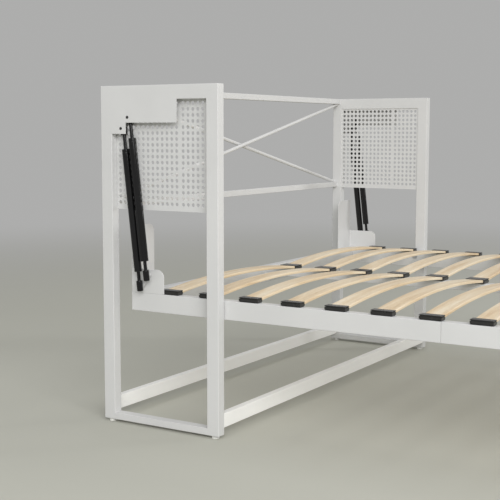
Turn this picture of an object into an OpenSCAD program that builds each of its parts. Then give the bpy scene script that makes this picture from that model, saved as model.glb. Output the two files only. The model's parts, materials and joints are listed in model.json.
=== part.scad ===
// Vertical wall bed: two open side frames carry a slatted double bed that tilts up between them.
// X runs across the bed, the wall side is at +Y, the foot of the bed is at -Y, +Z is up.
// The origin is on the floor, at the middle of the whole bed's width and length when it is lowered.
// In the modules, y is 0 at the wall side of the side frames and z is 0 at the underside of the posts.

/* [Side frames] */
// Overall width over both side frames
frame_w = 1487; // [1150:1:1890]
// Depth of a side frame, from the wall side to the front face
frame_d = 400; // [385:1:440]
// Height of the posts
post_h = 968; // [940:1:1100]
// Width of every side frame tube, across the bed
tube_w = 30; // [29:0.5:36]
// Depth of a post, along the bed
post_d = 38; // [30:1:42]
// Height of the top rail of a side frame
top_rail_h = 40; // [30:1:50]
// Height of the bottom rail of a side frame
bottom_rail_h = 20; // [15:1:30]
// Wall of the tubes
tube_wall = 2; // [1.5:0.1:3]
// Diameter of a floor glide
glide_d = 22; // [18:1:26]
// Height of a floor glide
glide_h = 8; // [4:1:16]

/* [Back and floor rails] */
// Height of the back rails
back_rail_h = 20; // [15:1:30]
// Depth of the upper back rail
back_top_rail_d = 30; // [20:1:34]
// Depth of the lower back rail
back_low_rail_d = 20; // [18:1:30]
// Height of the opening between the two back rails
back_opening_h = 309; // [230:1:370]
// Diameter of the crossed brace rods
brace_d = 12; // [6:0.5:12]
// Height of the floor rails
floor_rail_h = 40; // [25:1:44]
// Depth of the floor rails
floor_rail_d = 22; // [15:1:30]

/* [Perforated panels] */
// Thickness of a panel
panel_t = 1.5; // [1:0.1:2]
// Distance of a panel from the outer face of the side frame
panel_x = 25; // [24.9:0.1:27]
// Height of a panel
panel_h = 310.5; // [302:0.5:330]
// Diameter of a hole
hole_d = 10.5; // [4:0.5:11]
// Distance of the highest hole row from a panel's upper edge
row_margin = 10.5; // [7:0.5:14]
// Distance between hole rows
row_pitch = 16.5; // [14:0.1:16.8]
// Distance between hole columns
column_pitch = 16.5; // [14:0.1:16.6]
// Number of hole rows
rows = 18; // [6:1:18]
// Number of hole columns in the rear field
rear_columns = 13; // [4:1:13]
// Number of hole columns in the front field
front_columns = 6; // [2:1:6]
// Distance from the last rear column to the first front column
field_gap = 22; // [18:0.5:23]

/* [Spring plates] */
// Thickness of a spring plate
plate_t = 2; // [1.5:0.1:2.6]
// Distance of a spring plate's front edge from the wall side
plate_front = 264.5; // [200:0.5:300]
// Height of a spring plate over most of its length
plate_h = 64; // [63:1:80]
// Distance of the step in a spring plate from the wall side
plate_step_y = 88.5; // [84:0.5:92]
// Height of a spring plate at its rear end
plate_rear_h = 95.5; // [94:0.5:110]

/* [Gas springs] */
// Distance of the springs' middle plane from the outer face of the side frame
spring_x = 13; // [12.8:0.1:13.5]
// Distance of the middle of the two upper studs from the wall side
upper_y = 83; // [81:0.25:86]
// Distance of the middle of the two upper studs below the top rail
upper_drop = 64.5; // [62:0.5:68]
// Distance of the rocker pin from the wall side when the bed is lowered
rocker_y = 135; // [131:0.5:141]
// Height of the rocker pin when the bed is lowered
rocker_z = 415.75; // [408:0.25:420]
// Distance between the two springs' studs along the bed
stud_gap_y = 23.4; // [23:0.1:26]
// Distance between the two springs' studs in height
stud_gap_z = 31.4; // [30:0.1:33]
// Outer diameter of a spring cylinder
cylinder_d = 22; // [18:0.5:22.5]
// Distance from an upper stud to the cylinder when the bed is lowered
rod_show = 58.5; // [56:0.5:60]
// Diameter of a piston rod
rod_d = 10; // [6:0.5:10.4]
// Width of a spring's upper end fitting
eye_w = 18; // [15:0.5:19]
// Thickness of a spring's upper end fitting
eye_t = 10; // [8:0.5:10.4]
// Diameter of a spring's lower end fitting
socket_d = 18; // [16:0.5:18.5]
// Length of a spring's lower end fitting
socket_l = 31; // [24:1:32]
// Distance from a lower stud to the cylinder's lower end
neck_l = 41; // [39:1:44]
// Diameter of a spring stud
stud_d = 8; // [6:0.5:9]

/* [Bed frame] */
// Gap between a side frame and the bed
side_gap = 3; // [2.5:0.1:6]
// Distance of the bed's head end from the wall side
head_y = 80; // [76:0.5:86]
// Length of the bed frame
bed_l = 2010; // [1880:1:2210]
// Height of the underside of the bed rails
rail_z = 324; // [318:1:332]
// Height of a bed rail
rail_h = 53; // [50:1:60]
// Width of a bed rail
rail_w = 30; // [29:1:36]
// Distance of the seam in the side rails from the wall side
seam_y = 1029; // [1000:1:1060]
// Height of the centre rail
centre_rail_h = 25; // [20:1:26]
// Height of the tilt axis
pivot_z = 364; // [361:0.5:368]
// Distance of the tilt axis behind the front face of the side frames
pivot_in = 24; // [12:0.5:27]
// Diameter of the pivot bolts
pivot_d = 12; // [8:0.5:14]

/* [Head brackets] */
// Thickness of a head bracket's sheet
bracket_t = 3; // [2:0.1:4]
// Distance of a head bracket's front edge from the wall side
bracket_front = 193.5; // [180:0.5:195]
// Height of a head bracket's side plate over the bed rails
bracket_h = 70; // [66:1:90]
// Width of the mattress stop of a head bracket
stop_w = 106; // [60:1:160]
// Height of the mattress stop over the bed rails
stop_h = 192; // [120:1:210]
// Radius of a head bracket's free corners
bracket_r = 23; // [5:1:30]

/* [Slats] */
// Number of slats in each row
slats = 14; // [6:1:14]
// Distance of the first slat cap from the wall side
first_cap_y = 180; // [150:0.5:194]
// Distance of the last slat cap from the foot end of the bed
last_cap_in = 140; // [80:0.5:170]
// Width of a slat
slat_w = 52; // [44:1:60]
// Thickness of a slat
slat_t = 8; // [6:0.5:9]
// Height of a slat's bow
slat_bow = 19; // [5:0.5:30]
// Depth of a slat cap, along the slat
cap_l = 25; // [20:1:30]
// Wall at the sides of a slat cap
cap_side = 4.2; // [1.6:0.1:6]
// Thickness of a slat cap under the slat
cap_floor = 3.5; // [3:0.5:7]
// Thickness of a slat cap over the slat
cap_roof = 2; // [1.5:0.1:3]
// Length of a double holder on the centre rail
holder_l = 43; // [38:1:56]

/* [Foot leg] */
// Distance of the leg's hinge from the foot end of the bed
leg_inset = 75.5; // [70:0.5:100]
// Width of a leg tube, across the bed
leg_w = 20; // [18:1:30]
// Depth of a leg tube, along the bed
leg_d = 25; // [20:1:25]
// Diameter of a leg glide
leg_glide_d = 18; // [14:1:20]
// Height of the leg's cross bar over the leg's lower end
leg_bar_z = 20; // [5:1:80]

/* [Hidden] */
$fn = 48;

paint = "#DADAD6";
black = "#1C1D1E";
birch = "#E0C49A";
zinc = "#B9BCC0";
nylon = "#E2E2DC";

// Gaps that let pieces turn and slide
running = 0.05;
clear = 0.3;
// Gap round a piece that is pushed into another of the same body
push = 0.2;

// The whole bed's length, and where the wall side of the frames lies in it
back_y = (head_y + bed_l) / 2;
half_w = frame_w / 2;
rail_underside_z = post_h - top_rail_h;
window_d = frame_d - 2 * post_d;
window_w = frame_w - 2 * tube_w;
back_low_rail_z = post_h - back_opening_h - 2 * back_rail_h;
glide_stem_d = 10;
glide_stem_l = 18;

// Bed frame, with x counted from the outer face of a side frame
bed_x = tube_w + side_gap;
rail_top = rail_z + rail_h;
rail_inner_x = bed_x + rail_w;
foot_y = head_y + bed_l;
pivot_y = frame_d - pivot_in;
cross_w = frame_w - 2 * rail_inner_x;
splice_l = 160;
splice_wall = 3;
screw_d = 6;
screw_head_d = 11;
screw_head_h = 3;
screw_step = 45;

// Slats and their caps
cap_w = slat_w + 2 * cap_side;
cap_h = cap_floor + slat_t + cap_roof;
slat_pitch = (foot_y - last_cap_in - cap_w - first_cap_y) / (slats - 1);
cap_inset = 3.5;
cap_back = 6;
holder_web = 6;
peg_d = 8;
peg_l = 4;
slat_z = rail_top + cap_floor;
slat_x0 = bed_x + cap_inset + cap_back;
slat_x1 = half_w - holder_web / 2;
bow_x0 = bed_x + cap_inset + cap_l - 2;
bow_x1 = half_w - holder_l / 2 + 2;
bow_half = (bow_x1 - bow_x0) / 2;
bow_r = (bow_half * bow_half + slat_bow * slat_bow) / (2 * slat_bow);
bow_top_r = norm([bow_half, bow_r - slat_bow + slat_t]);

// Gas springs
upper_z = rail_underside_z - upper_drop;
drop_y = rocker_y - upper_y;
drop_z = upper_z - rocker_z;
spring_l = norm([drop_y, drop_z]);
lean = atan2(drop_y, drop_z);
cylinder_wall = 1.5;
cylinder_floor = 5;
guide_l = 8;
piston_l = 6;
piston_gap = 1.5;
cylinder_l = spring_l - neck_l - rod_show;
rod_l = spring_l - neck_l - cylinder_floor - piston_gap;
eye_x = spring_x - eye_t / 2;
stud_show = 1;
washer_t = 2.5;
washer_d = 13;
socket_skin = 4;
rocker_t = 3;
rocker_w = 14;
rocker_x = spring_x + socket_d / 2 + 0.5;
rocker_pin_x = rocker_x + rocker_t + clear;
rocker_pin_d = 12;

// Pivot
bush_wall = 2;
bush_flange_d = 24;
pivot_head_d = 20;
pivot_head_h = 4;
pivot_grip = 20;

// Foot leg
leg_y = foot_y - leg_inset;
leg_pivot_z = rail_z + 1 + leg_d / 2;
leg_x = rail_inner_x + 1.5;
leg_bolt_d = 8;
leg_bolt_head_d = 14;
leg_bolt_head_h = 4;

// Places of the hole field in a panel
top_row_z = rail_underside_z - row_margin;
field_d = (rear_columns + front_columns - 2) * column_pitch + field_gap;
first_column_y = post_d + (window_d - field_d) / 2;

// Frames of reference: the middle of the bed, and a side with x from its outer face inwards
module middle() {
    translate([0, back_y, glide_h]) children();
}

module left_side() {
    translate([-half_w, back_y, glide_h]) children();
}

module right_side() {
    mirror([1, 0, 0]) left_side() children();
}

module both_sides() {
    left_side() children();
    right_side() children();
}

// A block from its low corner, with y counted forwards from the wall side
module block(x, y, z, size) {
    translate([x, -y - size[1], z]) cube(size);
}

// A closed tube: a block with an inner space that leaves the wall all round
module closed_tube(x, y, z, size, wall) {
    difference() {
        block(x, y, z, size);
        block(x + wall, y + wall, z + wall, [size[0] - 2 * wall, size[1] - 2 * wall, size[2] - 2 * wall]);
    }
}

// An open tube along X or Y
module tube_along_x(x, y, z, size, wall) {
    difference() {
        block(x, y, z, size);
        block(x - 1, y + wall, z + wall, [size[0] + 2, size[1] - 2 * wall, size[2] - 2 * wall]);
    }
}

module tube_along_y(x, y, z, size, wall) {
    difference() {
        block(x, y, z, size);
        block(x + wall, y - 1, z + wall, [size[0] - 2 * wall, size[1] + 2, size[2] - 2 * wall]);
    }
}

// A round bar along X from x to x + l
module pin_x(x, y, z, d, l) {
    translate([x, -y, z]) rotate([0, 90, 0]) cylinder(d = d, h = l);
}

// Side frames
module post(y) {
    difference() {
        closed_tube(0, y, 0, [tube_w, post_d, post_h], tube_wall);
        translate([tube_w / 2, -y - post_d / 2, -1]) cylinder(d = glide_stem_d, h = tube_wall + 2);
        children();
    }
}

module rear_post() {
    color(paint) post(0);
}

module front_post() {
    color(paint) post(frame_d - post_d) pin_x(tube_w / 2, pivot_y, pivot_z, pivot_d, tube_w);
}

module top_rail() {
    color(paint) tube_along_y(0, post_d, rail_underside_z, [tube_w, window_d, top_rail_h], tube_wall);
}

module bottom_rail() {
    color(paint) tube_along_y(0, post_d, 0, [tube_w, window_d, bottom_rail_h], tube_wall);
}

// An outline in the plane of a side frame: points are distance from the wall side and height
module side_sheet(x, t) {
    translate([x, 0, 0]) rotate([90, 0, 90]) linear_extrude(t) mirror([1, 0]) children();
}

module spring_plate() {
    color(paint) difference() {
        side_sheet(0, plate_t) translate([0, rail_underside_z]) polygon([
            [post_d, -plate_rear_h],
            [plate_step_y, -plate_rear_h],
            [plate_step_y, -plate_h],
            [plate_front, -plate_h],
            [plate_front, 0],
            [post_d, 0]
        ]);
        for (s = [-1, 1]) pin_x(-1, upper_y + s * stud_gap_y / 2, upper_z + s * stud_gap_z / 2, stud_d, plate_t + 2);
    }
}

module perforated_panel() {
    color(paint) side_sheet(panel_x, panel_t) difference() {
        translate([post_d, rail_underside_z - panel_h]) square([window_d, panel_h]);
        for (r = [0 : rows - 1], c = [0 : rear_columns + front_columns - 1])
            translate([hole_column_y(c), top_row_z - r * row_pitch]) circle(d = hole_d, $fn = 24);
    }
}

function hole_column_y(c) =
    c < rear_columns
        ? first_column_y + c * column_pitch
        : first_column_y + (c - 1) * column_pitch + field_gap;

// Back and floor
module back_top_rail() {
    color(paint) middle()
        tube_along_x(-window_w / 2, 0, post_h - back_rail_h, [window_w, back_top_rail_d, back_rail_h], tube_wall);
}

module back_lower_rail() {
    color(paint) middle()
        tube_along_x(-window_w / 2, 0, back_low_rail_z, [window_w, back_low_rail_d, back_rail_h], tube_wall);
}

// A brace rod runs from corner to corner of the back opening, and is cut off flush there
module brace_rod(y, rise) {
    low = back_low_rail_z + back_rail_h;
    high = post_h - back_rail_h;
    run = norm([window_w, high - low]);
    slope = atan2(high - low, window_w);
    color(paint) middle() intersection() {
        block(-window_w / 2, 0, low, [window_w, post_d, high - low]);
        translate([0, -y, (low + high) / 2]) rotate([0, 90 - rise * slope, 0])
            cylinder(d = brace_d, h = run, center = true);
    }
}

module floor_rail(y) {
    color(paint) middle()
        tube_along_x(-window_w / 2, y, bottom_rail_h, [window_w, floor_rail_d, floor_rail_h], tube_wall);
}

module glide(x, y, d) {
    translate([x, -y, 0]) {
        translate([0, 0, -glide_h]) cylinder(d = d, h = glide_h);
        cylinder(d = glide_stem_d, h = glide_stem_l);
    }
}

module floor_glides() {
    color(nylon) both_sides() for (y = [post_d / 2, frame_d - post_d / 2]) glide(tube_w / 2, y, glide_d);
}

// Upper studs: through the plate, with a spacer inside it and a washer that holds the eye
module upper_spring_studs() {
    color(black) both_sides() for (s = [-1, 1]) {
        y = upper_y + s * stud_gap_y / 2;
        z = upper_z + s * stud_gap_z / 2;
        pin_x(-stud_show, y, z, stud_d, stud_show + eye_x + eye_t + clear + washer_t);
        pin_x(plate_t, y, z, washer_d, eye_x - clear - plate_t);
        pin_x(eye_x + eye_t + clear, y, z, washer_d, washer_t);
    }
}

// Tilt axis: a shouldered bolt from the bed's inner side into the front post, in a flanged bush
module pivot_bolts() {
    color(zinc) both_sides() {
        pin_x(tube_w - pivot_grip, pivot_y, pivot_z, pivot_d, pivot_grip + side_gap + rail_w + clear + pivot_head_h);
        pin_x(rail_inner_x + clear, pivot_y, pivot_z, pivot_head_d, pivot_head_h);
    }
}

module pivot_bushes() {
    color(nylon) both_sides() difference() {
        union() {
            pin_x(bed_x, pivot_y, pivot_z, pivot_d + 2 * bush_wall, rail_w);
            pin_x(tube_w + clear, pivot_y, pivot_z, bush_flange_d, side_gap - clear);
        }
        pin_x(tube_w, pivot_y, pivot_z, pivot_d + 2 * running, side_gap + rail_w + 1);
    }
}

// Bed rails
// A side rail's inner space runs from inner0 to inner1, so that it is open only at the seam
module side_rail(y0, y1, inner0, inner1) {
    difference() {
        block(bed_x, y0, rail_z, [rail_w, y1 - y0, rail_h]);
        block(bed_x + tube_wall, inner0, rail_z + tube_wall,
            [rail_w - 2 * tube_wall, inner1 - inner0, rail_h - 2 * tube_wall]);
        for (i = [0 : slats - 1]) cap_peg_hole(bed_x + cap_inset + cap_l / 2, i);
        children();
    }
}

module cap_peg_hole(x, i) {
    translate([x, -cap_middle_y(i), rail_top - tube_wall - 1]) cylinder(d = peg_d + 2 * push, h = tube_wall + 2);
}

function cap_middle_y(i) = first_cap_y + cap_w / 2 + i * slat_pitch;

module head_rail() {
    color(paint) side_rail(head_y, seam_y, head_y + tube_wall, seam_y + 1) {
        pin_x(bed_x - 1, pivot_y, pivot_z, pivot_d + 2 * bush_wall, rail_w + 2);
        rail_screws(-1) screw_hole();
    }
}

module foot_rail() {
    color(paint) side_rail(seam_y, foot_y, seam_y - 1, foot_y - tube_wall) {
        rail_screws(1) screw_hole();
        pin_x(rail_inner_x - tube_wall - 1, leg_y, leg_pivot_z, leg_bolt_d, tube_wall + 2);
    }
}

// Places of the splice screws in the inner wall of a side rail, on one side of the seam
module rail_screws(side) {
    for (k = [0, 1])
        translate([rail_inner_x, -seam_y - side * screw_step * (k + 0.5), rail_z + rail_h / 2]) children();
}

module screw_hole() {
    translate([-tube_wall - 1, 0, 0]) rotate([0, 90, 0]) cylinder(d = screw_d + 2 * push, h = tube_wall + 2);
}

module splice_screw() {
    rotate([0, 90, 0]) cylinder(d = screw_head_d, h = screw_head_h);
    translate([-tube_wall - push - splice_wall, 0, 0]) rotate([0, 90, 0])
        cylinder(d = screw_d, h = tube_wall + push + splice_wall + 1);
}

module splice_screws() {
    color(zinc) both_sides() for (side = [-1, 1]) rail_screws(side) splice_screw();
}

// A sleeve inside each pair of rails joins the two halves at the seam
module rail_splices() {
    gap = tube_wall + push;
    size = [rail_w - 2 * gap, splice_l, rail_h - 2 * gap];
    centre_size = [rail_w - 2 * gap, splice_l, centre_rail_h - 2 * gap];
    color(zinc) {
        both_sides() difference() {
            tube_along_y(bed_x + gap, seam_y - splice_l / 2, rail_z + gap, size, splice_wall);
            for (side = [-1, 1]) rail_screws(side) splice_screw();
            for (i = [0 : slats - 1]) translate([bed_x + cap_inset + cap_l / 2, -cap_middle_y(i), rail_top - peg_l - 1])
                cylinder(d = peg_d + 2 * push, h = peg_l);
        }
        middle() difference() {
            tube_along_y(-centre_size[0] / 2, seam_y - splice_l / 2, rail_top - centre_rail_h + gap, centre_size, splice_wall);
            for (i = [0 : slats - 1]) translate([0, -cap_middle_y(i), rail_top - peg_l - 1])
                cylinder(d = peg_d + 2 * push, h = peg_l);
        }
    }
}

module cross_rail(y) {
    color(paint) middle() tube_along_x(-cross_w / 2, y, rail_z, [cross_w, rail_w, rail_h], tube_wall);
}

module centre_rail(y0, y1) {
    color(paint) middle() difference() {
        tube_along_y(-rail_w / 2, y0, rail_top - centre_rail_h, [rail_w, y1 - y0, centre_rail_h], tube_wall);
        for (i = [0 : slats - 1]) cap_peg_hole(0, i);
    }
}

// Head bracket: a side plate and a taller mattress stop, bent from one sheet
module rounded_corner_sheet(w, h, r) {
    difference() {
        square([w, h]);
        translate([w - r, h - r]) difference() {
            square([r + 1, r + 1]);
            circle(r = r);
        }
    }
}

module head_bracket() {
    color(paint) {
        side_sheet(bed_x, bracket_t) translate([head_y, rail_top])
            rounded_corner_sheet(bracket_front - head_y, bracket_h, bracket_r);
        translate([bed_x, -head_y, rail_top]) rotate([90, 0, 0]) linear_extrude(bracket_t)
            rounded_corner_sheet(stop_w, stop_h, bracket_r);
    }
}

// Pins on the outer faces of the head brackets, one for each rocker
module rocker_pins() {
    color(zinc) both_sides() pin_x(rocker_pin_x, rocker_y, rocker_z, rocker_pin_d, bed_x - rocker_pin_x);
}

// Slats: a bowed board with a short level end in each pocket
module slat() {
    rotate([90, 0, 0]) linear_extrude(slat_w) slat_outline();
}

module slat_outline() {
    slat_l = slat_x1 - slat_x0;
    bow_centre = [bow_x0 + bow_half, slat_z + slat_bow - bow_r];
    difference() {
        intersection() {
            translate([slat_x0, slat_z]) square([slat_l, slat_bow + 2 * slat_t]);
            union() {
                translate([slat_x0 - 1, slat_z - 1]) square([slat_l + 2, slat_t + 1]);
                translate(bow_centre) circle(r = bow_top_r, $fn = 720);
            }
        }
        translate(bow_centre) circle(r = bow_r, $fn = 720);
    }
}

module slat_row() {
    color(birch) for (i = [0 : slats - 1])
        translate([0, slat_w / 2 - cap_middle_y(i), 0]) slat();
}

// A pocket with a little room round the slat, open towards +X
module pocket(x, l) {
    translate([x, -slat_w / 2 - push, slat_z - push]) cube([l + 1, slat_w + 2 * push, slat_t + 2 * push]);
}

module peg(x) {
    translate([x, 0, rail_top - peg_l]) cylinder(d = peg_d, h = peg_l + 1);
}

module slat_caps() {
    x = bed_x + cap_inset;
    color(black) for (i = [0 : slats - 1]) translate([0, -cap_middle_y(i), 0]) {
        difference() {
            translate([x, -cap_w / 2, rail_top]) cube([cap_l, cap_w, cap_h]);
            pocket(x + cap_back - push, cap_l);
        }
        peg(x + cap_l / 2);
    }
}

module centre_slat_holders() {
    color(black) middle() for (i = [0 : slats - 1]) translate([0, -cap_middle_y(i), 0]) {
        difference() {
            translate([-holder_l / 2, -cap_w / 2, rail_top]) cube([holder_l, cap_w, cap_h]);
            pocket(holder_web / 2 - push, holder_l);
            mirror([1, 0, 0]) pocket(holder_web / 2 - push, holder_l);
        }
        peg(0);
    }
}

// Gas springs: k is 1 for the front spring of a side and -1 for the rear one
module at_spring(k) {
    translate([spring_x, -upper_y - k * stud_gap_y / 2, upper_z + k * stud_gap_z / 2])
        rotate([-lean, 0, 0]) children();
}

// An upper end fitting: a flat bar with a round top, drilled for its stud
module eye() {
    difference() {
        translate([-eye_t / 2, 0, 0]) rotate([0, 90, 0]) union() {
            cylinder(d = eye_w, h = eye_t);
            translate([0, -eye_w / 2, 0]) cube([eye_w, eye_w, eye_t]);
        }
        translate([-eye_t, 0, 0]) rotate([0, 90, 0]) cylinder(d = stud_d + 2 * running, h = 2 * eye_t);
    }
}

module rod(k) {
    color(black) at_spring(k) {
        eye();
        translate([0, 0, -rod_l]) cylinder(d = rod_d, h = rod_l - eye_w / 2);
        translate([0, 0, -rod_l]) cylinder(d = cylinder_d - 2 * cylinder_wall - 2 * running, h = piston_l);
    }
}

module spring_cylinder(k) {
    inner_l = cylinder_l - guide_l - cylinder_floor;
    color(black) at_spring(k) translate([0, 0, -rod_show - cylinder_l]) difference() {
        cylinder(d = cylinder_d, h = cylinder_l);
        translate([0, 0, cylinder_floor]) cylinder(d = cylinder_d - 2 * cylinder_wall, h = inner_l);
        translate([0, 0, cylinder_floor]) cylinder(d = rod_d + 2 * running, h = cylinder_l);
    }
}

module socket(k) {
    color(black) at_spring(k) translate([0, 0, -spring_l]) difference() {
        union() {
            translate([0, 0, -socket_l / 2]) cylinder(d = socket_d, h = socket_l);
            cylinder(d = rod_d, h = neck_l);
        }
        translate([socket_skin - socket_d / 2, 0, 0]) rotate([0, 90, 0])
            cylinder(d = stud_d + 2 * running, h = socket_d);
    }
}

// Rocker: its two studs carry both springs of a side, and it turns on the head bracket's pin
module rocker() {
    a = atan2(stud_gap_z, stud_gap_y);
    l = norm([stud_gap_y, stud_gap_z]);
    color(paint) {
        translate([rocker_x, -rocker_y, rocker_z]) rotate([-a, 0, 0]) rotate([0, 90, 0]) {
            translate([-rocker_w / 2, -l / 2, 0]) cube([rocker_w, l, rocker_t]);
            for (s = [-1, 1]) translate([0, s * l / 2, 0]) cylinder(d = rocker_w, h = rocker_t);
        }
        stud_x = spring_x - socket_d / 2 + socket_skin + clear;
        for (k = [-1, 1])
            pin_x(stud_x, rocker_y + k * stud_gap_y / 2, rocker_z + k * stud_gap_z / 2, stud_d, rocker_x + 1 - stud_x);
    }
}

// Foot leg: two tubes, a cross bar, and bolts that carry it on the foot rails
module leg_tube() {
    color(paint) difference() {
        union() {
            block(leg_x, leg_y - leg_d / 2, 0, [leg_w, leg_d, leg_pivot_z]);
            pin_x(leg_x, leg_y, leg_pivot_z, leg_d, leg_w);
        }
        block(leg_x + tube_wall, leg_y - leg_d / 2 + tube_wall, tube_wall,
            [leg_w - 2 * tube_wall, leg_d - 2 * tube_wall, leg_pivot_z - leg_d]);
        pin_x(leg_x - 1, leg_y, leg_pivot_z, leg_bolt_d + 2 * running, leg_w + 2);
        translate([leg_x + leg_w / 2, -leg_y, -1]) cylinder(d = glide_stem_d, h = tube_wall + 2);
    }
}

module leg_cross_bar() {
    w = frame_w - 2 * (leg_x + leg_w);
    color(paint) middle() tube_along_x(-w / 2, leg_y - leg_d / 2, leg_bar_z, [w, leg_d, leg_d], tube_wall);
}

module leg_glides() {
    color(nylon) both_sides() glide(leg_x + leg_w / 2, leg_y, leg_glide_d);
}

module leg_hinge_bolts() {
    color(zinc) both_sides() {
        pin_x(rail_inner_x - 8, leg_y, leg_pivot_z, leg_bolt_d, leg_x + leg_w + clear + leg_bolt_head_h - rail_inner_x + 8);
        pin_x(rail_inner_x, leg_y, leg_pivot_z, leg_bolt_head_d, leg_x - rail_inner_x - clear);
        pin_x(leg_x + leg_w + clear, leg_y, leg_pivot_z, leg_bolt_head_d, leg_bolt_head_h);
    }
}

left_side() rear_post();  // left_rear_post
left_side() front_post();  // left_front_post
left_side() top_rail();  // left_top_rail
left_side() bottom_rail();  // left_bottom_rail
left_side() spring_plate();  // left_spring_plate
left_side() perforated_panel();  // left_perforated_panel
right_side() rear_post();  // right_rear_post
right_side() front_post();  // right_front_post
right_side() top_rail();  // right_top_rail
right_side() bottom_rail();  // right_bottom_rail
right_side() spring_plate();  // right_spring_plate
right_side() perforated_panel();  // right_perforated_panel
back_top_rail();
back_lower_rail();
brace_rod(1.5 * brace_d + push, 1);  // brace_rod_front
brace_rod(brace_d / 2, -1);  // brace_rod_rear
floor_rail(frame_d - floor_rail_d);  // front_floor_rail
floor_rail(0);  // rear_floor_rail
floor_glides();
upper_spring_studs();
pivot_bolts();
left_side() head_rail();  // left_head_rail
left_side() foot_rail();  // left_foot_rail
right_side() head_rail();  // right_head_rail
right_side() foot_rail();  // right_foot_rail
cross_rail(head_y);  // head_cross_rail
cross_rail(foot_y - rail_w);  // foot_cross_rail
centre_rail(head_y + rail_w, seam_y);  // centre_head_rail
centre_rail(seam_y, foot_y - rail_w);  // centre_foot_rail
left_side() head_bracket();  // left_head_bracket
right_side() head_bracket();  // right_head_bracket
rocker_pins();
pivot_bushes();
rail_splices();
splice_screws();
left_side() slat_caps();  // left_slat_caps
right_side() slat_caps();  // right_slat_caps
centre_slat_holders();
left_side() slat_row();  // left_slats
right_side() slat_row();  // right_slats
left_side() rod(1);  // left_front_rod
left_side() spring_cylinder(1);  // left_front_cylinder
left_side() socket(1);  // left_front_socket
left_side() rod(-1);  // left_rear_rod
left_side() spring_cylinder(-1);  // left_rear_cylinder
left_side() socket(-1);  // left_rear_socket
left_side() rocker();  // left_rocker
right_side() rod(1);  // right_front_rod
right_side() spring_cylinder(1);  // right_front_cylinder
right_side() socket(1);  // right_front_socket
right_side() rod(-1);  // right_rear_rod
right_side() spring_cylinder(-1);  // right_rear_cylinder
right_side() socket(-1);  // right_rear_socket
right_side() rocker();  // right_rocker
left_side() leg_tube();  // left_leg_tube
right_side() leg_tube();  // right_leg_tube
leg_cross_bar();
leg_glides();
leg_hinge_bolts();
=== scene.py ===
"""Dresses the vertical wall bed: painted tubes, bowed slats, caps, gas springs, light and camera."""
import json
import math
import bmesh
import bpy
from mathutils import Matrix, Vector


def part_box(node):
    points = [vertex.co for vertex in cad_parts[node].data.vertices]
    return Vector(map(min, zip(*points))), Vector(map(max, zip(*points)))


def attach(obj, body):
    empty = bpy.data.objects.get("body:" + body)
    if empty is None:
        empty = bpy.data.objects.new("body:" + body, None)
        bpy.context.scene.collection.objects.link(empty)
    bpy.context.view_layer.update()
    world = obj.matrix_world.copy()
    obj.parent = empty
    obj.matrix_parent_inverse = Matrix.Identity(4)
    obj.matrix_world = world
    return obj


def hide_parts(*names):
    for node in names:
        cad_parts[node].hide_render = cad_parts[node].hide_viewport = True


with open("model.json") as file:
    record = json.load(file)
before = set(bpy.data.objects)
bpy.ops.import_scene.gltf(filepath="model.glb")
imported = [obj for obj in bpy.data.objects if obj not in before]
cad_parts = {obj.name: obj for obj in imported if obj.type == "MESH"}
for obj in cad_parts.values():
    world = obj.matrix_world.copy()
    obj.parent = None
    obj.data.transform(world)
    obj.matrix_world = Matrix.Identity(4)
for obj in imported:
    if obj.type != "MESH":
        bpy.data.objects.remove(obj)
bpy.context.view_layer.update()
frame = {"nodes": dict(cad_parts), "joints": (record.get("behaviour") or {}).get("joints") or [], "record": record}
node_body = {n: b for b, names in frame["record"]["behaviour"]["bodies"].items() for n in names}
node_slot = {s["node"]: s["material_slot"] for s in frame["record"]["subparts"]}
joints = {j["name"]: j for j in frame["joints"]}

# Sizes that several sections share, in metres
TUBE_ROUNDING = 0.0016
SLAT_WIDTH = 0.052
SLAT_THICKNESS = 0.008
CAP_WIDTH = 0.0604
CAP_HEIGHT = 0.0135
SLATS_IN_ROW = 14

# Edges whose faces turn by more degrees than this are sharp ones
SHARP_ANGLE = 32

# Colour of the plain background
BACKDROP = (0.42, 0.42, 0.415)

# Numbers of the sockets of a colour mix node
MIX_FACTOR, MIX_A, MIX_B, MIX_RESULT = 0, 6, 7, 2


# Node helpers
def shader(name, colour, roughness, metallic=0.0):
    made = bpy.data.materials.new(name)
    made.use_nodes = True
    tree = made.node_tree
    bsdf = tree.nodes["Principled BSDF"]
    bsdf.inputs["Base Color"].default_value = (*colour, 1)
    bsdf.inputs["Roughness"].default_value = roughness
    bsdf.inputs["Metallic"].default_value = metallic
    return made, tree, bsdf


def node(tree, kind, values=None, **settings):
    made = tree.nodes.new(kind)
    for key, value in settings.items():
        setattr(made, key, value)
    for key, value in (values or {}).items():
        made.inputs[key].default_value = value
    return made


def coordinates(tree, scale=(1, 1, 1)):
    source = node(tree, "ShaderNodeTexCoord")
    mapping = node(tree, "ShaderNodeMapping", {"Scale": scale})
    tree.links.new(source.outputs["Object"], mapping.inputs["Vector"])
    return mapping.outputs["Vector"]


def noise(tree, vector, scale, detail, roughness=0.5):
    made = node(tree, "ShaderNodeTexNoise", {"Scale": scale, "Detail": detail, "Roughness": roughness})
    tree.links.new(vector, made.inputs["Vector"])
    return made.outputs["Fac"]


def ramp(tree, factor, stops):
    made = node(tree, "ShaderNodeValToRGB")
    elements = made.color_ramp.elements
    while len(elements) < len(stops):
        elements.new(0.5)
    for element, (place, colour) in zip(elements, stops):
        element.position = place
        element.color = (*colour, 1)
    tree.links.new(factor, made.inputs["Fac"])
    return made.outputs["Color"]


def multiply(tree, one, two, share):
    """Colour one times colour two, where two counts by its share."""
    made = node(tree, "ShaderNodeMix", {MIX_FACTOR: share}, data_type="RGBA", blend_type="MULTIPLY")
    tree.links.new(one, made.inputs[MIX_A])
    tree.links.new(two, made.inputs[MIX_B])
    return made.outputs[MIX_RESULT]


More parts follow.
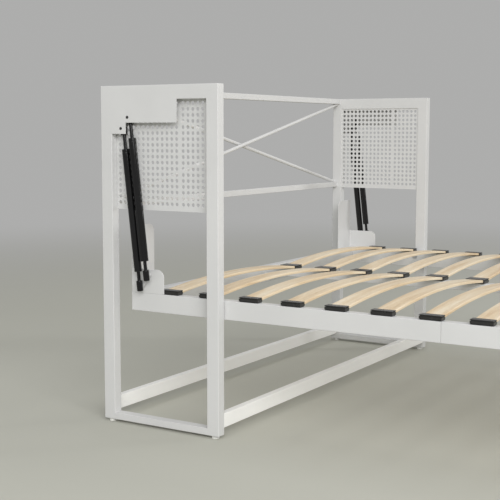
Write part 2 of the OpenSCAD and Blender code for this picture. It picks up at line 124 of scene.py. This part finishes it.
def bump(tree, bsdf, height, strength, distance):
    made = node(tree, "ShaderNodeBump", {"Strength": strength, "Distance": distance})
    tree.links.new(height, made.inputs["Height"])
    tree.links.new(made.outputs["Normal"], bsdf.inputs["Normal"])


def tinted(colour, factor):
    return tuple(min(1.0, c * factor) for c in colour)


def vary_colour(tree, bsdf, factor, colour, dark, light, places=(0.3, 0.7)):
    """Runs the base colour from dark to light times the colour between two places of a noise."""
    stops = [(place, tinted(colour, tint)) for place, tint in zip(places, (dark, light))]
    tree.links.new(ramp(tree, factor, stops), bsdf.inputs["Base Color"])


def vary_roughness(tree, bsdf, factor, low, high):
    """Runs the roughness from low to high where a noise runs from 0.3 to 0.7."""
    limits = {"From Min": 0.3, "From Max": 0.7, "To Min": low, "To Max": high}
    made = node(tree, "ShaderNodeMapRange", limits)
    tree.links.new(factor, made.inputs["Value"])
    tree.links.new(made.outputs["Result"], bsdf.inputs["Roughness"])


def clear_coat(bsdf, weight):
    bsdf.inputs["Coat Weight"].default_value = weight
    bsdf.inputs["Coat Roughness"].default_value = 0.3


# Materials
def make_paint(name, colour):
    """Powder coat with faint clouds and a fine grain."""
    made, tree, bsdf = shader(name, colour, roughness=0.4)
    space = coordinates(tree)
    vary_colour(tree, bsdf, noise(tree, space, scale=5, detail=4), colour, dark=0.965, light=1.02)
    vary_roughness(tree, bsdf, noise(tree, space, scale=60, detail=3), low=0.34, high=0.46)
    clear_coat(bsdf, 0.12)
    bump(tree, bsdf, noise(tree, space, scale=1400, detail=2), strength=0.06, distance=0.0004)
    return made


def glue_lines(tree):
    """Glue lines of the layered board, by the depth attribute: 0 at the underside, 1 on top."""
    lines = 5.0
    glue = (0.88, 0.83, 0.76)
    clear = (1.0, 1.0, 1.0)
    depth = node(tree, "ShaderNodeAttribute", attribute_name="depth")
    # Half a layer more keeps the lines off the top and the underside
    layer = node(tree, "ShaderNodeMath", {1: lines, 2: 0.5}, operation="MULTIPLY_ADD")
    tree.links.new(depth.outputs["Fac"], layer.inputs[0])
    part = node(tree, "ShaderNodeMath", operation="FRACT")
    tree.links.new(layer.outputs[0], part.inputs[0])
    return ramp(tree, part.outputs[0], [(0.0, glue), (0.13, clear), (0.87, clear), (1.0, glue)])


def make_wood(name):
    """Beech veneer: broad streaks and fine fibres along X, with the glue lines of the board."""
    average = (0.78, 0.645, 0.465)
    peach = (0.66, 0.49, 0.30)
    middle = (0.78, 0.63, 0.43)
    cream = (0.88, 0.775, 0.6)
    pore = (0.86, 0.83, 0.79)
    clear = (1.0, 1.0, 1.0)
    made, tree, bsdf = shader(name, average, roughness=0.4)
    broad = noise(tree, coordinates(tree, (1.6, 26, 26)), scale=1.6, detail=6, roughness=0.62)
    face = ramp(tree, broad, [(0.3, peach), (0.48, middle), (0.68, cream)])
    fibre = noise(tree, coordinates(tree, (9, 620, 620)), scale=1.0, detail=4, roughness=0.7)
    fibre_tint = ramp(tree, fibre, [(0.35, pore), (0.6, clear)])
    grained = multiply(tree, face, fibre_tint, 0.75)
    layered = multiply(tree, grained, glue_lines(tree), 1.0)
    tree.links.new(layered, bsdf.inputs["Base Color"])
    vary_roughness(tree, bsdf, fibre, low=0.46, high=0.32)
    bsdf.inputs["Specular IOR Level"].default_value = 0.35
    clear_coat(bsdf, 0.06)
    bump(tree, bsdf, fibre, strength=0.15, distance=0.0003)
    return made


def make_plastic(name, colour, low, high, grain):
    """Moulded plastic whose roughness runs from low to high, with a grain of that strength."""
    made, tree, bsdf = shader(name, colour, high)
    space = coordinates(tree)
    cloud = noise(tree, space, scale=40, detail=3)
    vary_colour(tree, bsdf, cloud, colour, dark=0.85, light=1.15)
    vary_roughness(tree, bsdf, cloud, low, high)
    bump(tree, bsdf, noise(tree, space, scale=2600, detail=2), grain, distance=0.0003)
    return made


def make_metal(name, colour, low, high):
    made, tree, bsdf = shader(name, colour, high, metallic=1.0)
    cloud = noise(tree, coordinates(tree), scale=30, detail=4, roughness=0.6)
    vary_colour(tree, bsdf, cloud, colour, dark=0.9, light=1.08, places=(0.25, 0.75))
    vary_roughness(tree, bsdf, cloud, low, high)
    bump(tree, bsdf, cloud, strength=0.05, distance=0.0002)
    return made


def make_gloss(name, colour, specular, low, high):
    """Smooth lacquer, almost without a grain."""
    made, tree, bsdf = shader(name, colour, high)
    bsdf.inputs["Specular IOR Level"].default_value = specular
    space = coordinates(tree)
    vary_colour(tree, bsdf, noise(tree, space, scale=9, detail=3), colour, dark=0.8, light=1.25)
    vary_roughness(tree, bsdf, noise(tree, space, scale=25, detail=4), low, high)
    bump(tree, bsdf, noise(tree, space, scale=900, detail=2), strength=0.03, distance=0.0003)
    return made


material = {
    "frame_paint": make_paint("frame_paint", (0.64, 0.64, 0.635)),
    "rail_paint": make_paint("rail_paint", (0.91, 0.905, 0.88)),
    "slat_wood": make_wood("slat_wood"),
    "cap_plastic": make_plastic("cap_plastic", (0.019, 0.0185, 0.018), low=0.2, high=0.29, grain=0.08),
    "glide_plastic": make_plastic("glide_plastic", (0.72, 0.72, 0.69), low=0.45, high=0.6, grain=0.05),
    "spring_black": make_gloss("spring_black", (0.004, 0.004, 0.0042), 0.42, low=0.06, high=0.1),
    "rod_black": make_gloss("rod_black", (0.008, 0.008, 0.0085), 0.4, low=0.05, high=0.08),
    "stud_black": make_plastic("stud_black", (0.014, 0.014, 0.014), low=0.3, high=0.4, grain=0.05),
    "fixing_steel": make_metal("fixing_steel", (0.6, 0.61, 0.63), low=0.3, high=0.42),
}


# Mesh helpers
def mesh_from(bm, name):
    mesh = bpy.data.meshes.new(name)
    bm.to_mesh(mesh)
    bm.free()
    return mesh


def add_object(name, data):
    made = bpy.data.objects.new(name, data)
    bpy.context.scene.collection.objects.link(made)
    return made


def add_piece(name, bm, body, slot, nodes=(), smooth=35):
    """A piece on a body. Edges that turn by fewer degrees than smooth look round."""
    bmesh.ops.recalc_face_normals(bm, faces=bm.faces)
    mesh = mesh_from(bm, name)
    made = add_object(name, mesh)
    mesh.materials.append(material[slot])
    for polygon in mesh.polygons:
        polygon.use_smooth = True
    mesh.set_sharp_from_angle(angle=math.radians(smooth))
    weighted = made.modifiers.new("weighted", "WEIGHTED_NORMAL")
    weighted.keep_sharp = True
    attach(made, body)
    if nodes:
        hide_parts(*nodes)


def block_into(bm, low, high):
    """A block with sharp edges between two corners. Gives its vertices."""
    low, high = Vector(low), Vector(high)
    new = bmesh.ops.create_cube(bm, size=1)["verts"]
    bmesh.ops.scale(bm, vec=high - low, verts=new)
    bmesh.ops.translate(bm, vec=(low + high) / 2, verts=new)
    return new


def rounded_block_into(bm, low, high, radius, axes="xyz"):
    """A block whose edges along the named axes are rounded."""
    new = block_into(bm, low, high)
    edges = []
    for edge in {e for v in new for e in v.link_edges}:
        along = edge.verts[1].co - edge.verts[0].co
        axis = "xyz"[max(range(3), key=lambda i: abs(along[i]))]
        if axis in axes:
            edges.append(edge)
    bmesh.ops.bevel(bm, geom=edges, offset=radius, segments=3, affect="EDGES", profile=0.5)


def cad_mesh(name):
    """The CAD piece with each flat face in one again."""
    bm = bmesh.new()
    bm.from_mesh(frame["nodes"][name].data)
    bmesh.ops.remove_doubles(bm, verts=bm.verts, dist=1e-6)
    bmesh.ops.dissolve_limit(bm, angle_limit=math.radians(0.5), verts=bm.verts, edges=bm.edges)
    return bm


def ease_edges(bm, width, kept=lambda edge: False):
    """Eases the sharp edges by width, apart from the kept ones."""
    least = math.radians(SHARP_ANGLE)
    between_two = [edge for edge in bm.edges if len(edge.link_faces) == 2]
    sharp = [edge for edge in between_two if edge.calc_face_angle() > least and not kept(edge)]
    bmesh.ops.bevel(bm, geom=sharp, offset=width, segments=2, affect="EDGES", clamp_overlap=True)


def add_eased(name, bm):
    add_piece(f"{name}_eased", bm, node_body[name], node_slot[name], [name])


def eased_copy(name, width):
    """The CAD piece with its sharp edges eased by width."""
    bm = cad_mesh(name)
    ease_edges(bm, width)
    add_eased(name, bm)


def lathe_into(bm, profile, matrix, steps=48):
    """A solid of revolution: profile holds (radius, height) pairs along the matrix's own Z."""
    turns = [2 * math.pi * k / steps for k in range(steps)]
    rings = []
    for radius, height in profile:
        if radius < 1e-7:
            places = [(0, 0, height)]
        else:
            places = [(radius * math.cos(turn), radius * math.sin(turn), height) for turn in turns]
        rings.append([bm.verts.new(matrix @ Vector(place)) for place in places])
    for one, two in zip(rings, rings[1:]):
        for k in range(steps):
            m = k + 1
            corners = [one[k % len(one)], one[m % len(one)], two[m % len(two)], two[k % len(two)]]
            unique = list(dict.fromkeys(corners))
            if len(unique) > 2:
                bm.faces.new(unique)


def eased(profile, radius, steps=3):
    """Rounds each inner corner of a profile by an arc of about that radius."""
    points = [Vector(p) for p in profile]
    out = [tuple(points[0])]
    for before, here, after in zip(points, points[1:], points[2:]):
        one, two = before - here, after - here
        cut = min(radius, one.length * 0.45, two.length * 0.45)
        start, end = here + one.normalized() * cut, here + two.normalized() * cut
        for k in range(steps + 1):
            t = k / steps
            out.append(tuple((1 - t) ** 2 * start + 2 * t * (1 - t) * here + t * t * end))
    out.append(tuple(points[-1]))
    return out


def arc(centre, radius, start, end, steps=14):
    """Points on an arc from start to end, in degrees."""
    turns = [math.radians(start + (end - start) * k / steps) for k in range(steps + 1)]
    x, y = centre
    return [(x + radius * math.cos(turn), y + radius * math.sin(turn)) for turn in turns]


def slab_into(bm, outline, thickness, matrix, ease):
    """A flat bar from an outline in the matrix's YZ plane, centred on its X."""
    vertices = [bm.verts.new(matrix @ Vector((-thickness / 2, y, z))) for y, z in outline]
    face = bm.faces.new(vertices)
    grown = bmesh.ops.extrude_face_region(bm, geom=[face])["geom"]
    top = [g for g in grown if isinstance(g, bmesh.types.BMVert)]
    bmesh.ops.translate(bm, vec=matrix.to_3x3() @ Vector((thickness, 0, 0)), verts=top)
    faces = [face] + [g for g in grown if isinstance(g, bmesh.types.BMFace)]
    rim = {edge for one in faces for edge in one.edges}
    bmesh.ops.bevel(bm, geom=list(rim), offset=ease, segments=2, affect="EDGES")


# Tubes and plates
def tube(name, axis, grow=(0, 0), ends="", seam=None):
    """A rounded tube in place of a CAD tube. It reaches by grow into what it is welded to."""
    seam_rounding = 0.0018
    low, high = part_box(name)
    i = "xyz".index(axis)
    low[i] -= grow[0]
    high[i] += grow[1]
    bm = bmesh.new()
    rounded_block_into(bm, low, high, TUBE_ROUNDING, axis + ends)
    if seam is not None:
        rim = [e for e in bm.edges if all(abs(v.co[i] - seam) < 1e-6 for v in e.verts)]
        bmesh.ops.bevel(bm, geom=rim, offset=seam_rounding, segments=2, affect="EDGES", profile=0.5)
    new_name = name.replace("_rail", "_rail_tube").replace("_post", "_post_tube")
    add_piece(new_name, bm, node_body[name], node_slot[name], [name])


def spring_plate(name):
    """The stepped plate, carried on over the rounded edges of the rail and post it is welded to."""
    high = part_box(name)[1]
    bm = cad_mesh(name)

    def welded(edge):
        return any(all(abs(v.co[i] - high[i]) < 1e-5 for v in edge.verts) for i in (1, 2))

    ease_edges(bm, 0.0005, kept=welded)
    for vertex in bm.verts:
        for i in (1, 2):
            if abs(vertex.co[i] - high[i]) < 1e-5:
                vertex.co[i] += TUBE_ROUNDING
    add_eased(name, bm)


# Side frames, back and floor
both_ends = (TUBE_ROUNDING, TUBE_ROUNDING)
for side in ("left", "right"):
    for post in ("rear_post", "front_post"):
        tube(f"{side}_{post}", "z", ends="xy")
    tube(f"{side}_top_rail", "y", grow=both_ends)
    tube(f"{side}_bottom_rail", "y", grow=both_ends)
    spring_plate(f"{side}_spring_plate")
for name in ("back_top_rail", "back_lower_rail", "front_floor_rail", "rear_floor_rail"):
    tube(name, "x", grow=both_ends)

# Bed frame
for side in ("left", "right"):
    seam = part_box(f"{side}_head_rail")[0].y
    tube(f"{side}_head_rail", "y", seam=seam)
    tube(f"{side}_foot_rail", "y", seam=seam)
    eased_copy(f"{side}_head_bracket", 0.0008)
for name in ("head_cross_rail", "foot_cross_rail"):
    tube(name, "x", grow=both_ends)
tube("centre_head_rail", "y", grow=(0, TUBE_ROUNDING))
tube("centre_foot_rail", "y", grow=(TUBE_ROUNDING, 0))


# Slats: a rounded section carried along the bow, with the depth in the board kept as an attribute
def slat_section():
    """Points round a slat, each as its place across the slat and its height above the underside."""
    top_radius, low_radius = 0.0024, 0.0012
    side_y, top_z = SLAT_WIDTH / 2, SLAT_THICKNESS
    corners = (
        (side_y - top_radius, top_z - top_radius, top_radius, 0),
        (top_radius - side_y, top_z - top_radius, top_radius, 90),
        (low_radius - side_y, low_radius, low_radius, 180),
        (side_y - low_radius, low_radius, low_radius, 270),
    )
    points = []
    for y, z, radius, start in corners:
        points += arc((y, z), radius, start, start + 90, steps=4)
    return points


def slat_stations(low, high, bow_from, bow_to):
    """Places along a slat, each with its height on the bow: the ends in the caps are straight."""
    half, middle = (bow_to - bow_from) / 2, (bow_from + bow_to) / 2
    rise = high.z - low.z - SLAT_THICKNESS
    radius = (half * half + rise * rise) / (2 * rise)

    def lift(x):
        if abs(x - middle) >= half:
            return 0.0
        return math.sqrt(radius * radius - (x - middle) ** 2) - (radius - rise)

    steps = 44
    bowed = [bow_from + (bow_to - bow_from) * k / steps for k in range(steps + 1)]
    return [(x, lift(x)) for x in [low.x, *bowed, high.x]]


def slat_row(side):
    """All the slats of one side. The bow starts a little way inside the mouths of caps and holders."""
    name = f"{side}_slats"
    low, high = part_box(name)
    caps_low, caps_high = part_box(f"{side}_slat_caps")
    holders_low, holders_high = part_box("centre_slat_holders")
    in_mouth = 0.002
    if side == "left":
        bow_from, bow_to = caps_high.x - in_mouth, holders_low.x + in_mouth
    else:
        bow_from, bow_to = holders_high.x - in_mouth, caps_low.x + in_mouth
    stations = slat_stations(low, high, bow_from, bow_to)
    section = slat_section()
    pitch = (high.y - low.y - SLAT_WIDTH) / (SLATS_IN_ROW - 1)
    bm = bmesh.new()
    depth = bm.verts.layers.float.new("depth")
    for number in range(SLATS_IN_ROW):
        y = low.y + SLAT_WIDTH / 2 + number * pitch
        rings = []
        for x, lift in stations:
            ring = []
            for across, up in section:
                vertex = bm.verts.new((x, y + across, low.z + lift + up))
                vertex[depth] = up / SLAT_THICKNESS
                ring.append(vertex)
            rings.append(ring)
        for one, two in zip(rings, rings[1:]):
            for k in range(len(section)):
                m = (k + 1) % len(section)
                bm.faces.new((one[k], one[m], two[m], two[k]))
        bm.faces.new(rings[0])
        bm.faces.new(rings[-1])
    add_piece(f"{side}_bowed_slats", bm, "bed", "slat_wood", [name])


slat_row("left")
slat_row("right")

# How far a cutter reaches past the shell that it cuts
PAST = 0.01


# Slat caps and centre holders: rounded shells, open where the slat goes in
def pocket_cuts(low, high, top, mouths):
    """Blocks for the pockets: one in a cap, two with a web between them in a centre holder."""
    half = 0.0262
    pocket_low, pocket_high = top - 0.0102, top - 0.0018
    end_wall, half_web = 0.0058, 0.003
    past_holder = 0.1
    if mouths == 2:
        reaches = ((-past_holder, -half_web), (half_web, past_holder))
    elif low.x < 0:
        reaches = ((low.x + end_wall, high.x + PAST),)
    else:
        reaches = ((low.x - PAST, high.x - end_wall),)
    return [((start, -half, pocket_low), (end, half, pocket_high)) for start, end in reaches]


def band_cuts(low, high, top, mouths):
    """Blocks for a shadow groove round the shell under its lid, and for a step round its foot."""
    side_y, outer = CAP_WIDTH / 2, CAP_WIDTH / 2 + PAST
    foot = top - CAP_HEIGHT
    groove = (top - 0.0041, top - 0.0020, 0.0022)
    step = (foot - PAST, foot + 0.0025, 0.0016)
    cuts = []
    for band_low, band_high, deep in (groove, step):
        cuts.append(((low.x - PAST, -outer, band_low), (high.x + PAST, deep - side_y, band_high)))
        cuts.append(((low.x - PAST, side_y - deep, band_low), (high.x + PAST, outer, band_high)))
        if mouths == 1:
            start, end = (low.x - PAST, low.x + deep) if low.x < 0 else (high.x - deep, high.x + PAST)
            cuts.append(((start, -outer, band_low), (end, outer, band_high)))
    return cuts


def cap_shell(low, high, top, cuts):
    """The mesh of one shell, its middle at y = 0, with the blocks of cuts taken out of it."""
    edge = 0.0009
    shell = bmesh.new()
    corner = (low.x, -CAP_WIDTH / 2, top - CAP_HEIGHT)
    rounded_block_into(shell, corner, (high.x, CAP_WIDTH / 2, top), edge)
    body = add_object("cap_shell", mesh_from(shell, "cap_shell"))
    cutters = []
    for number, (one, two) in enumerate(cuts):
        block = bmesh.new()
        block_into(block, one, two)
        cutter = add_object(f"cutter_{number}", mesh_from(block, f"cutter_{number}"))
        cutters.append(cutter)
        modifier = body.modifiers.new(f"cut_{number}", "BOOLEAN")
        modifier.object = cutter
        modifier.operation = "DIFFERENCE"
        modifier.solver = "EXACT"
    bpy.context.view_layer.update()
    evaluated = body.evaluated_get(bpy.context.evaluated_depsgraph_get())
    made = bpy.data.meshes.new_from_object(evaluated)
    for extra in (body, *cutters):
        bpy.data.objects.remove(extra)
    return made


def cap_row(name, new_name, mouths):
    low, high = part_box(name)
    top = high.z
    cuts = pocket_cuts(low, high, top, mouths) + band_cuts(low, high, top, mouths)
    shell = cap_shell(low, high, top, cuts)
    pitch = (high.y - low.y - CAP_WIDTH) / (SLATS_IN_ROW - 1)
    bm = bmesh.new()
    for number in range(SLATS_IN_ROW):
        before = len(bm.verts)
        bm.from_mesh(shell)
        bm.verts.ensure_lookup_table()
        y = low.y + CAP_WIDTH / 2 + number * pitch
        bmesh.ops.translate(bm, vec=(0, y, 0), verts=bm.verts[before:])
    add_piece(new_name, bm, "bed", "cap_plastic", [name], smooth=28)


cap_row("left_slat_caps", "left_cap_shells", 1)
cap_row("right_slat_caps", "right_cap_shells", 1)
cap_row("centre_slat_holders", "centre_holder_shells", 2)


# Gas springs: pieces turned round an axis that runs down from the upper stud
def spring_place(name):
    """A matrix from the upper stud, with X across the bed and Z down along the spring."""
    down = Vector(joints[f"{name}_stroke"]["axis"]).normalized()
    across = Vector((1, 0, 0))
    matrix = Matrix((across, down.cross(across), down)).transposed().to_4x4()
    matrix.translation = Vector(joints[f"{name}_swing"]["pos_m"])
    return matrix


def axial(node_name, matrix):
    """How far a CAD piece reaches along a spring's axis."""
    inverse = matrix.inverted()
    along = [(inverse @ v.co).z for v in frame["nodes"][node_name].data.vertices]
    return min(along), max(along)


def turned_piece(new_name, name, slot, profile, place, steps=48, smooth=40):
    bm = bmesh.new()
    lathe_into(bm, profile, place, steps)
    add_piece(new_name, bm, node_body[name], slot, [name], smooth)


def spring_cylinder(name, place):
    """A rolled mouth round the rod, a groove below it and a closed lower end."""
    low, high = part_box(name)
    r = (high.x - low.x) / 2
    start, end = axial(name, place)
    rod_hole = 0.0051
    mouth = start + 0.0010
    groove_r = r - 0.0006
    profile = [
        (rod_hole, mouth), (r - 0.0026, mouth), (r - 0.0020, start), (r - 0.0009, start),
        (r, start + 0.0009), (r, start + 0.0085), (groove_r, start + 0.0090),
        (groove_r, start + 0.0102), (r, start + 0.0107), (r, end - 0.0011),
        (r - 0.0010, end), (0.0, end),
    ]
    profile = eased(profile, 0.0004)
    turned_piece(f"{name}_shell", name, "spring_black", profile, place, steps=64, smooth=50)


def spring_rod(name, new_name, place):
    """The rod from inside its end fitting down to the piston."""
    end = axial(name, place)[1]
    start = 0.008
    rod_r, piston_r = 0.005, 0.00945
    profile = [
        (0.0, start), (rod_r, start), (rod_r, end - 0.0062),
        (piston_r, end - 0.006), (piston_r, end), (0.0, end),
    ]
    turned_piece(new_name, name, "rod_black", eased(profile, 0.0004), place)


def rod_end(new_name, body, place):
    """The upper end fitting: a flat bar, round above the stud and chamfered at the rod."""
    half, thickness = 0.009, 0.0099
    shoulder, foot, chamfer = 0.0165, 0.018, 0.0014
    outline = arc((0, 0), half, 180, 360)
    outline += [(half, shoulder), (half - chamfer, foot), (chamfer - half, foot), (-half, shoulder)]
    bm = bmesh.new()
    slab_into(bm, outline, thickness, place, ease=0.0006)
    add_piece(new_name, bm, body, "spring_black", smooth=40)


def spring_socket(name, new_name, place):
    """The lower end fitting: a thin neck and a round socket with chamfered ends."""
    neck, foot = axial(name, place)
    shoulder = foot - 0.031
    neck_r, socket_r = 0.005, 0.009
    profile = [
        (0.0, neck), (neck_r, neck), (neck_r, shoulder), (0.0074, shoulder),
        (socket_r, shoulder + 0.0022), (socket_r, foot - 0.0018), (0.0076, foot), (0.0, foot),
    ]
    turned_piece(new_name, name, "spring_black", eased(profile, 0.0007), place)


def gas_spring(name):
    place = spring_place(name)
    spring_cylinder(f"{name}_cylinder", place)
    spring_rod(f"{name}_rod", f"{name}_piston_rod", place)
    rod_end(f"{name}_rod_end", node_body[f"{name}_rod"], place)
    spring_socket(f"{name}_socket", f"{name}_end_fitting", place)


for side in ("left", "right"):
    gas_spring(f"{side}_front")
    gas_spring(f"{side}_rear")
    eased_copy(f"{side}_rocker", 0.0006)

# Everything that keeps its CAD shape gets its finish here
for name, piece in frame["nodes"].items():
    if piece.hide_render:
        continue
    piece.data.materials.clear()
    piece.data.materials.append(material[node_slot[name]])


# Studio: a pale floor that fades into the backdrop, light and camera
def seen_directly(tree):
    """1 for rays from the camera or a glossy surface, 0 for those that carry light to the object."""
    path = node(tree, "ShaderNodeLightPath")
    either = node(tree, "ShaderNodeMath", operation="MAXIMUM")
    tree.links.new(path.outputs["Is Camera Ray"], either.inputs[0])
    tree.links.new(path.outputs["Is Glossy Ray"], either.inputs[1])
    return either.outputs[0]


def mix_surfaces(tree, factor, one, two, target):
    """Gives the target surface one where the factor is 0 and surface two where it is 1."""
    mixed = node(tree, "ShaderNodeMixShader")
    tree.links.new(factor, mixed.inputs[0])
    tree.links.new(one.outputs[0], mixed.inputs[1])
    tree.links.new(two.outputs[0], mixed.inputs[2])
    tree.links.new(mixed.outputs[0], target)


def make_floor(name, colour, near, far):
    """A floor that turns into the backdrop between near and far, in metres from the origin."""
    made, tree, bsdf = shader(name, colour, roughness=0.85)
    cloud = noise(tree, coordinates(tree), scale=1.2, detail=3)
    vary_colour(tree, bsdf, cloud, colour, dark=0.985, light=1.0)
    distance = node(tree, "ShaderNodeVectorMath", operation="LENGTH")
    tree.links.new(coordinates(tree), distance.inputs[0])
    limits = {"From Min": near, "From Max": far}
    fade = node(tree, "ShaderNodeMapRange", limits, interpolation_type="SMOOTHSTEP")
    tree.links.new(distance.outputs["Value"], fade.inputs["Value"])
    share = node(tree, "ShaderNodeMath", operation="MULTIPLY")
    tree.links.new(fade.outputs["Result"], share.inputs[0])
    tree.links.new(seen_directly(tree), share.inputs[1])
    plain = node(tree, "ShaderNodeEmission", {"Color": (*BACKDROP, 1), "Strength": 1.0})
    mix_surfaces(tree, share.outputs[0], bsdf, plain, tree.nodes["Material Output"].inputs["Surface"])
    return made


def add_floor(half):
    """A square floor that reaches by half from the origin each way."""
    mesh = bpy.data.meshes.new("floor")
    corners = [(-half, -half, 0), (half, -half, 0), (half, half, 0), (-half, half, 0)]
    mesh.from_pydata(corners, [], [(0, 1, 2, 3)])
    floor = add_object("floor", mesh)
    mesh.materials.append(make_floor("floor", (0.50, 0.50, 0.44), near=2.2, far=7.5))


def area_light(name, azimuth, elevation, distance, size, energy):
    """A soft light that looks at the middle of the bed from an azimuth and an elevation in degrees."""
    middle = Vector((0, 0.2, 0.35))
    data = bpy.data.lights.new(name, "AREA")
    data.shape = "RECTANGLE"
    data.size, data.size_y = size
    data.energy = energy
    made = add_object(name, data)
    a, e = math.radians(azimuth), math.radians(elevation)
    away = Vector((math.cos(a) * math.cos(e), math.sin(a) * math.cos(e), math.sin(e)))
    made.location = middle + distance * away
    made.rotation_euler = (-away).to_track_quat("-Z", "Y").to_euler()


def make_world(colour, strength):
    """Even light from all sides, with the plain backdrop where the world itself is seen."""
    world = bpy.data.worlds.new("studio")
    bpy.context.scene.world = world
    world.use_nodes = True
    tree = world.node_tree
    lit = tree.nodes["Background"]
    lit.inputs["Color"].default_value = (*colour, 1)
    lit.inputs["Strength"].default_value = strength
    plain = node(tree, "ShaderNodeBackground", {"Color": (*BACKDROP, 1), "Strength": 1.0})
    mix_surfaces(tree, seen_directly(tree), lit, plain, tree.nodes["World Output"].inputs["Surface"])


def add_camera(place, turn, lens):
    """The camera at a place, turned by degrees about X, Y and Z, with a lens in millimetres."""
    data = bpy.data.cameras.new("camera")
    data.sensor_width = 36
    data.lens = lens
    data.clip_end = 60
    camera = add_object("camera", data)
    camera.location = place
    camera.rotation_euler = [math.radians(angle) for angle in turn]
    bpy.context.scene.camera = camera


add_floor(30)
area_light("camera_side", azimuth=217, elevation=25, distance=8.5, size=(8.0, 3.6), energy=640)
area_light("top", azimuth=0, elevation=89, distance=5.6, size=(4.5, 4.5), energy=70)
area_light("right_strip", azimuth=-47, elevation=22, distance=6.2, size=(0.9, 3.2), energy=85)
make_world((0.80, 0.80, 0.80), strength=0.45)
bpy.context.scene.view_settings.view_transform = "Standard"

# The photograph's camera, fitted to the bed's straight edges
add_camera(place=(-3.17236, -0.94381, 0.84788), turn=(83.7201, -0.053, -58.5125), lens=77.577)

bpy.context.view_layer.update()
